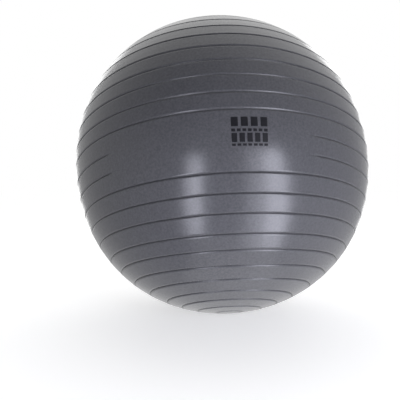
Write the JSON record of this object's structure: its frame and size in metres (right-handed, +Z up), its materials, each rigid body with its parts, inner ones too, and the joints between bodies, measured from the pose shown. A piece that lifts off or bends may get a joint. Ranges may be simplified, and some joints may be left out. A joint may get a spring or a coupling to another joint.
{
  "type": "exercise ball",
  "caption": "Inflatable round exercise ball with ring grooves, a smooth print panel and a push-in valve plug that pulls out for the pump.",
  "frame": {"origin": "middle of the flat patch the ball stands on, under the ball's centre", "axes": "+Z up, -Y towards the side with the smooth print panel, +X to the right of someone facing that panel"},
  "size_m": [0.6498, 0.6498, 0.6481],
  "materials": {
    "skin_vinyl": "satin pearl grey vinyl",
    "valve_vinyl": "satin moulded vinyl",
    "plug_plastic": "satin white"
  },
  "bodies": {
    "ball": {"ball_skin": "skin_vinyl", "valve_seat": "valve_vinyl"},
    "plug": {"valve_plug": "plug_plastic"}
  },
  "joints": [
    {"name": "plug_pull", "type": "slide", "parent": "ball", "child": "plug", "axis": [0.1253, 0.818, -0.5614], "range_m": [0, 0.08]}
  ]
}
